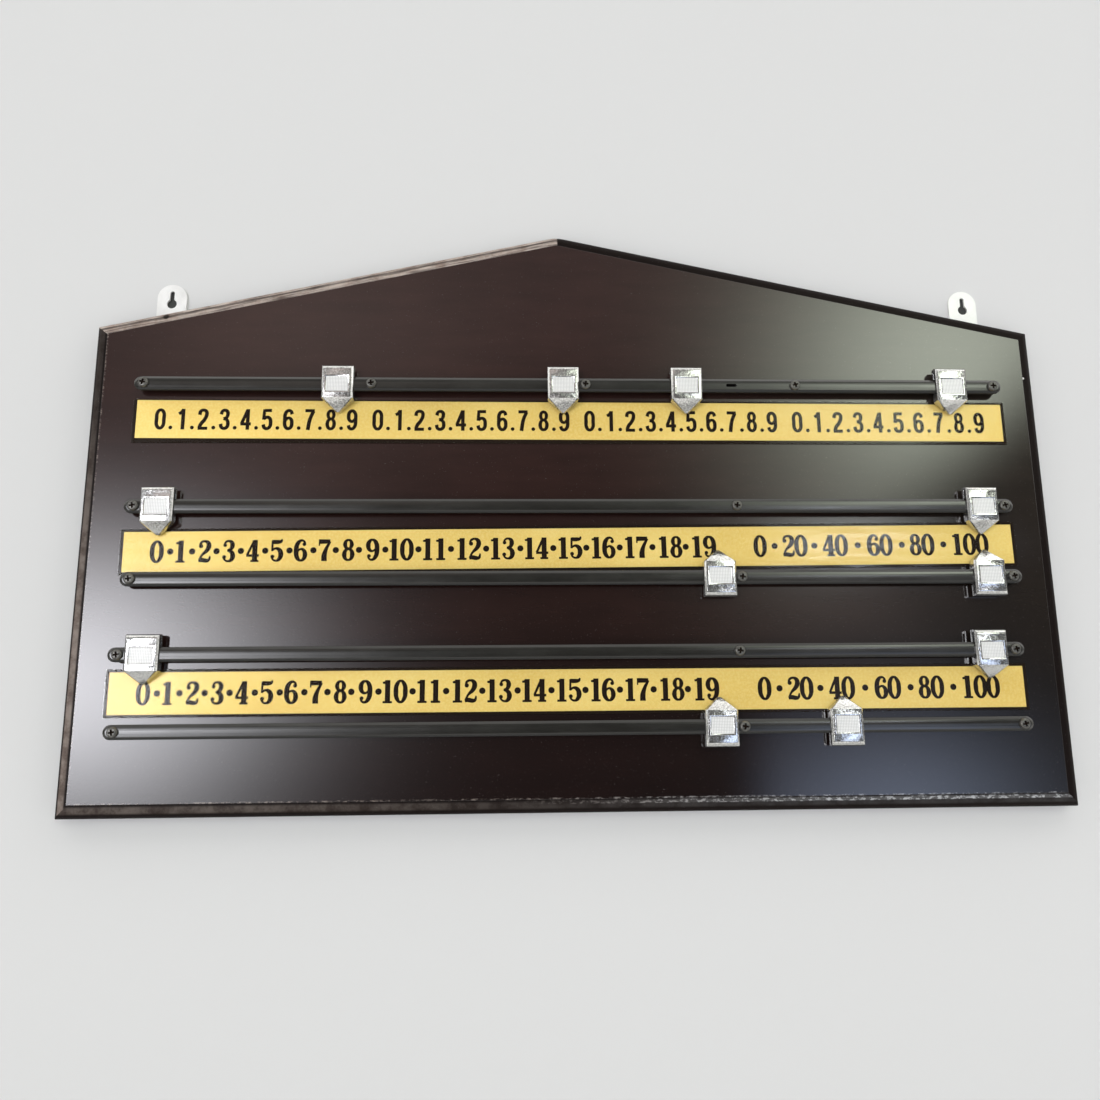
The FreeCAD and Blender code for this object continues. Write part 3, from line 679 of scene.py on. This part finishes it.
def print_counts(figures):
    words = [(word, place * MM) for word, place in COUNTS]
    dots = [place * MM for place in COUNT_DOTS]
    return join(print_words(figures, words, 10 * MM) + print_dots(dots, 0, 2.4 * MM))


def print_field(wide, tall, corner):
    """A flat printed field with rounded corners."""
    field = block((0, 0, 0), (wide, 0.04 * MM, tall))
    choose(field, "EDGE", lambda edge: abs(field.data.vertices[edge.vertices[0]].co.y
                                           - field.data.vertices[edge.vertices[1]].co.y) > 0.01 * MM)
    bpy.ops.mesh.bevel(offset=corner, segments=4, profile=0.5)
    to_bench()
    return field


def make_strips():
    pen = flat_pen()
    sans = draw_figures(pen, SANS)
    slab = draw_figures(pen, SLAB)
    counts = print_counts(slab)
    prints = {"top": print_tens(sans), "middle": copy_of(counts), "bottom": counts}
    # how far the gold field sits up on its black ground, and how far it is turned
    seats = {"top": (1.0, 0.1), "middle": (0, -0.42), "bottom": (0, 0)}
    for level in LEVELS:
        finish_node("strip_" + level, INK)
        finish_node("cover_" + level, CLEAR, 0.35 * MM)
        middle = middle_of("strip_" + level)
        raised, tilt = seats[level]
        ground = print_field(694.4 * MM, 35.4 * MM, 0.8 * MM)
        gold = print_field(689.6 * MM, 31.1 * MM, 0.4 * MM)
        for piece, name, finish, depth, up, turn in (
            (ground, "black_ground_", INK, 0.44, 0, -0.42 if level == "middle" else 0),
            (gold, "gold_face_", GOLD, 0.50, raised, tilt),
            (prints[level], "figures_", INK, 0.56, raised, tilt),
        ):
            piece.rotation_euler = (0, math.radians(turn), 0)
            piece.location = (middle.x, FACE - depth * MM, middle.z + up * MM)
            mount(piece, name + level, finish=finish)
    for figure in (pen, *sans.values(), *slab.values()):
        bpy.data.objects.remove(figure)


# Screws

def pan_head():
    """One pan head screw with a cross recess, the back of its head at the origin."""
    bpy.ops.mesh.primitive_cylinder_add(vertices=40, radius=4 * MM, depth=2.4 * MM,
                                        location=(0, -1.2 * MM, 0), rotation=(math.radians(90), 0, 0))
    head = bpy.context.object
    set_down(head)
    choose(head, "EDGE", lambda edge: all(head.data.vertices[v].co.y < -2 * MM for v in edge.vertices))
    bpy.ops.mesh.bevel(offset=1.6 * MM, segments=6, profile=0.5)
    to_bench()
    head.data.materials.append(SCREW)
    for size in ((5.4, 2.6, 1.7), (1.7, 2.6, 5.4)):
        cutter = block((0, -2.4 * MM, 0), [amount * MM for amount in size])
        choose(cutter, "FACE", lambda face: face.normal.y > 0.9)
        bpy.ops.transform.resize(value=(0.7, 1, 0.7))
        to_bench()
        # the cross recess takes the black ink finish: painted shade down in the recess
        cutter.data.materials.append(INK)
        apply_to(head, "BOOLEAN", "cross recess", operation="DIFFERENCE", solver="EXACT", object=cutter,
                 material_mode="TRANSFER")
        bpy.data.objects.remove(cutter)
    bpy.ops.mesh.primitive_cylinder_add(vertices=20, radius=1.5 * MM, depth=18 * MM,
                                        location=(0, 9 * MM, 0), rotation=(math.radians(90), 0, 0))
    shank = bpy.context.object
    set_down(shank)
    screw = join([head, shank])
    bpy.ops.object.shade_smooth_by_angle(angle=math.radians(35))
    return screw


SCREW_PLACES = {"top": (-336.5, -160.6, 8.1, 175.6, 336.5)}
STOP_PLACES = (-336.5, 124.6, 336.5)


def make_screws():
    master = pan_head()
    for rail in RAILS:
        middle = middle_of("rail_" + rail)
        screws = []
        for count, across in enumerate(SCREW_PLACES.get(rail, STOP_PLACES)):
            screw = copy_of(master)
            turn = Matrix.Rotation(math.radians((17 * count + 11 * len(rail)) % 40 - 20), 4, "Y")
            screw.data.transform(Matrix.Translation((middle.x + across * MM, RAIL_FRONT, middle.z)) @ turn)
            screws.append(screw)
        piece = mount(join(screws), "pan_heads_" + rail)
        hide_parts("screws_%s_rail" % rail)
    bpy.data.objects.remove(master)


def make_hanger_screws():
    """Flat heads sunk in the countersinks of the hanger plates."""
    for side, across in (("left", -330.5 * MM), ("right", 330.5 * MM)):
        screws = []
        for up in (-46.1 * MM, -26.1 * MM):
            bpy.ops.mesh.primitive_cone_add(vertices=32, radius1=2.9 * MM, radius2=1.4 * MM, depth=1.5 * MM,
                                            location=(across, -0.85 * MM, up),
                                            rotation=(math.radians(90), 0, 0))
            head = bpy.context.object
            set_down(head)
            for size in ((3.4, 1.2, 0.7), (0.7, 1.2, 3.4)):
                cutter = block((across, -0.1 * MM, up), [amount * MM for amount in size])
                apply_to(head, "BOOLEAN", "cross recess", operation="DIFFERENCE", solver="EXACT",
                         object=cutter)
                bpy.data.objects.remove(cutter)
            bpy.ops.mesh.primitive_cylinder_add(vertices=20, radius=1.4 * MM, depth=9 * MM,
                                                location=(across, -6.0 * MM, up),
                                                rotation=(math.radians(90), 0, 0))
            shank = bpy.context.object
            set_down(shank)
            screws += [head, shank]
        mount(join(screws), "flat_heads_" + side, finish=ZINC)


# Pointers

KNURL_BORDER = 0.9 * MM
KNURL_SUNK = 0.4 * MM


def knurl(piece, low, high):
    """Sink a field into the flat thumb pad and cut it into a grid of small pyramids."""
    def on_pad(face):
        spot = face.center
        return (face.normal.y < -0.99 and abs(spot.y - PAD_FRONT) < 0.02 * MM
                and low.x < spot.x < high.x and low.z < spot.z < high.z)

    choose(piece, "FACE", on_pad)
    bpy.ops.mesh.inset(thickness=KNURL_BORDER)
    bpy.ops.mesh.inset(thickness=0.2 * MM)
    bpy.ops.transform.translate(value=(0, KNURL_SUNK, 0))
    to_bench()
    floor = PAD_FRONT + KNURL_SUNK

    def on_floor(face):
        return face.normal.y < -0.99 and abs(face.center.y - floor) < 0.02 * MM

    corners = [piece.data.vertices[v].co
               for face in piece.data.polygons if on_floor(face) for v in face.vertices]
    for axis, count in ((0, 14), (2, 11)):
        start = min(corner[axis] for corner in corners)
        end = max(corner[axis] for corner in corners)
        for cut in range(1, count):
            place = [0, 0, 0]
            place[axis] = start + (end - start) * cut / count
            normal = [0, 0, 0]
            normal[axis] = 1
            choose(piece, "FACE", on_floor)
            bpy.ops.mesh.bisect(plane_co=place, plane_no=normal)
            to_bench()
    choose(piece, "FACE", on_floor)
    bpy.ops.mesh.poke(offset=KNURL_SUNK, use_relative_offset=False)
    to_bench()
    for face in piece.data.polygons:
        if face.select:
            face.material_index = 1


def knurled_pointer():
    """A pointer copied from the first solid, its edges softened and its thumb pad knurled."""
    piece = copy_of(frame["nodes"]["pointer_top_1"])
    piece.data.materials.clear()
    piece.data.materials.append(CHROME)
    piece.data.materials.append(FROST)
    pick(piece)
    bpy.ops.object.mode_set(mode="EDIT")
    bpy.ops.mesh.select_all(action="SELECT")
    bpy.ops.mesh.remove_doubles(threshold=1e-6)
    bpy.ops.mesh.dissolve_limited(angle_limit=math.radians(1))
    to_bench()
    apply_to(piece, "BEVEL", "soft edges", width=0.25 * MM, segments=2, limit_method="ANGLE",
             angle_limit=math.radians(25))
    middle = middle_of("pointer_top_1")
    rail = middle_of("rail_top")
    pad_up = rail.z - 0.9 * MM
    low = Vector((middle.x - 9.6 * MM, 0, pad_up - 7.3 * MM))
    high = Vector((middle.x + 9.6 * MM, 0, pad_up + 7.3 * MM))
    knurl(piece, low, high)
    pick(piece)
    bpy.ops.object.shade_smooth_by_angle(angle=math.radians(22))
    return piece


def make_pointers():
    master = knurled_pointer()
    home = middle_of("pointer_top_1")
    for name in POINTERS:
        piece = copy_of(master)
        turn = Matrix.Rotation(math.pi if name in BEAK_UP else 0, 4, "Y")
        piece.data.transform(Matrix.Translation(middle_of(name)) @ turn @ Matrix.Translation(-home))
        mount(piece, "knurled_" + name, name)
        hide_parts(name)
    bpy.data.objects.remove(master)


# Board, rails and hangers

def make_board():
    finish_node("backboard", LACQUER, 0.3 * MM)
    for rail in RAILS:
        finish_node("rail_" + rail, RAIL, 0.12 * MM)
    for side in ("left", "right"):
        finish_node("hanger_plate_" + side, ZINC)


# Room, light and camera

def make_room():
    bpy.ops.mesh.primitive_plane_add(size=6, location=(0, 1 * MM, 0), rotation=(math.radians(90), 0, 0))
    wall = bpy.context.object
    bpy.ops.mesh.primitive_plane_add(size=1, location=(0, 1.25, -1.1))
    floor = bpy.context.object
    floor.scale = (6, 3.5, 1)
    pale, tree, shader = new_material("pale wall")
    coordinates = add(tree, "ShaderNodeTexCoord")
    parts = add(tree, "ShaderNodeSeparateXYZ", {0: coordinates.outputs["Object"]})
    aside = maths(tree, "ABSOLUTE", parts.outputs["X"])
    height = parts.outputs["Z"]
    # the wall is painted dark where it shows through the keyholes, a painted shade
    shade = times(tree, band(tree, aside, 330.5 * MM, 7.5 * MM, 1.0 * MM),
                  band(tree, height, 3 * MM, 9 * MM, 1.0 * MM))
    tree.links.new(blend_colour(tree, shade, (0.70, 0.70, 0.70), (0.07, 0.071, 0.069)),
                   shader.inputs["Base Color"])
    shader.inputs["Roughness"].default_value = 0.95
    shader.inputs["Specular IOR Level"].default_value = 0.1
    # light from behind passes the wall where the board and its plates cover it, to reach their
    # backs, but not at the keyholes
    inside = distances_to_edge(tree)[0]
    plates = times(tree, band(tree, aside, 330.5 * MM, 10.5 * MM, 1.0 * MM),
                   band(tree, height, -20 * MM, 35 * MM, 1.0 * MM))
    keyholes = times(tree, band(tree, aside, 330.5 * MM, 4.5 * MM, 0.5 * MM),
                     band(tree, height, 3.8 * MM, 8.3 * MM, 0.5 * MM))
    covered = maths(tree, "MAXIMUM", maths(tree, "GREATER_THAN", inside, 0.0), plates)
    seen = add(tree, "ShaderNodeLightPath").outputs["Is Camera Ray"]
    open_to_light = times(tree, covered, maths(tree, "SUBTRACT", 1.0, keyholes),
                          maths(tree, "SUBTRACT", 1.0, seen))
    clear = add(tree, "ShaderNodeBsdfTransparent")
    back = add(tree, "ShaderNodeNewGeometry").outputs["Backfacing"]
    gone = maths(tree, "MAXIMUM", back, open_to_light)
    both = add(tree, "ShaderNodeMixShader", {0: gone, 1: shader.outputs[0], 2: clear.outputs[0]})
    tree.links.new(both.outputs[0], tree.nodes["Material Output"].inputs["Surface"])
    for item, name in ((wall, "wall"), (floor, "floor")):
        item.name = name
        item.data.materials.append(pale)
        set_down(item)


def glow(tree, across, up, centre, spread, turn, shut, colour, level):
    """A soft bright patch of the room, by its slopes from the board: middle, spread and turn; shut names
    one of its axes and where along it the patch sets in."""
    off_x = maths(tree, "SUBTRACT", across, centre[0])
    off_z = maths(tree, "SUBTRACT", up, centre[1])
    axes = []
    for first, second in ((math.cos(turn), math.sin(turn)), (-math.sin(turn), math.cos(turn))):
        axes.append(maths(tree, "MULTIPLY_ADD", off_x, first, maths(tree, "MULTIPLY", off_z, second)))
    squares = []
    for axis, width in zip(axes, spread):
        part = maths(tree, "DIVIDE", axis, width)
        squares.append(maths(tree, "MULTIPLY", part, part))
    fall = maths(tree, "EXPONENT", maths(tree, "MULTIPLY", maths(tree, "ADD", *squares), -1.0))
    if shut:
        fall = maths(tree, "MULTIPLY", fall, step(tree, axes[shut[0]], shut[1], shut[2]))
    return add(tree, "ShaderNodeVectorMath", {0: colour, "Scale": maths(tree, "MULTIPLY", fall, level)},
               operation="SCALE").outputs[0]


PATCHES = (
    # a strong light at the left, one high and one low at the right, and fainter glows
    ((-0.53, 0.05), (0.2, 0.15), 0.0, None, (0.98, 0.985, 1.04), 18.0),
    ((0.53, 0.44), (0.21, 0.19), 0.735, (1, -0.16, -0.03), (0.95, 1.03, 0.86), 8.0),
    ((0.42, -0.12), (0.155, 0.11), 0.0, (0, -0.19, -0.12), (0.80, 0.95, 1.30), 3.0),
    ((0.38, 0.17), (0.12, 0.12), 0.0, None, (1.1, 0.95, 0.9), 0.6),
    ((-0.27, 0.46), (0.22, 0.16), 0.0, None, (1.2, 0.96, 0.88), 0.55),
    ((0.39, 0.205), (0.10, 0.016), 0.0, None, (0.88, 0.96, 1.12), 11.0),
)


def make_light():
    """A soft studio: a pale band overhead, a pale ground, dim where the viewer stands, plain behind."""
    world = bpy.data.worlds.new("soft studio")
    world.use_nodes = True
    tree = world.node_tree
    studio = tree.nodes["Background"]
    coordinates = add(tree, "ShaderNodeTexCoord")
    parts = add(tree, "ShaderNodeSeparateXYZ", {0: coordinates.outputs["Generated"]})
    out = maths(tree, "MAXIMUM", maths(tree, "MULTIPLY", parts.outputs["Y"], -1.0), 0.05)
    across = maths(tree, "DIVIDE", parts.outputs["X"], out)
    up = maths(tree, "DIVIDE", parts.outputs["Z"], out)
    ambient = step(tree, up, 0.28, 0.62, 0.045, 0.28)
    for glim in (
        step(tree, up, 0.95, 1.3, 0.0, 1.05),
        maths(tree, "MULTIPLY", band(tree, up, -0.8, 0.25, 0.25), 0.95),
        step(tree, up, -0.9, -1.2, 0.0, 0.42),
        step(tree, across, -1.0, -1.6, 0.0, 0.3),
        step(tree, across, 1.1, 1.7, 0.0, 0.7),
    ):
        ambient = maths(tree, "ADD", ambient, glim)
    total = add(tree, "ShaderNodeCombineXYZ", {0: ambient, 1: maths(tree, "MULTIPLY", ambient, 0.985),
                                                2: maths(tree, "MULTIPLY", ambient, 0.95)}).outputs[0]
    for patch in PATCHES:
        light = glow(tree, across, up, *patch)
        total = add(tree, "ShaderNodeVectorMath", {0: total, 1: light}, operation="ADD").outputs[0]
    # behind the wall the light is plain and even
    behind = step(tree, parts.outputs["Y"], 0.02, 0.1)
    total = blend_colour(tree, behind, total, (0.80, 0.795, 0.78))
    tree.links.new(total, studio.inputs["Color"])
    pale = add(tree, "ShaderNodeBackground", {"Color": (0.716, 0.716, 0.716, 1)})
    seen = add(tree, "ShaderNodeLightPath").outputs["Is Camera Ray"]
    both = add(tree, "ShaderNodeMixShader", {0: seen, 1: studio.outputs[0], 2: pale.outputs[0]})
    tree.links.new(both.outputs[0], tree.nodes["World Output"].inputs["Surface"])
    bpy.context.scene.world = world


def make_camera():
    """The camera below the board's middle, looking a little up and to the right."""
    data = bpy.data.cameras.new("camera")
    data.sensor_width = 36
    data.lens = 28.21
    data.shift_x = -0.0062
    data.shift_y = 0.0145
    data.clip_start = 0.01
    turn = (Matrix.Rotation(-0.0029, 3, "Z") @ Matrix.Rotation(-0.0370, 3, "Y")
            @ Matrix.Rotation(-0.1790, 3, "X") @ Matrix(((1, 0, 0), (0, 0, -1), (0, 1, 0))))
    right, down, forward = turn
    camera = bpy.data.objects.new("camera", data)
    bpy.context.collection.objects.link(camera)
    camera.matrix_world = (Matrix.Translation((-41.47 * MM, -670.4 * MM, -340.52 * MM))
                           @ Matrix((right, -down, -forward)).transposed().to_4x4())
    bpy.context.scene.camera = camera


bpy.ops.object.select_all(action="DESELECT")
make_board()
make_strips()
make_screws()
make_hanger_screws()
make_pointers()
make_room()
make_light()
make_camera()
bpy.context.scene.view_settings.view_transform = "Standard"
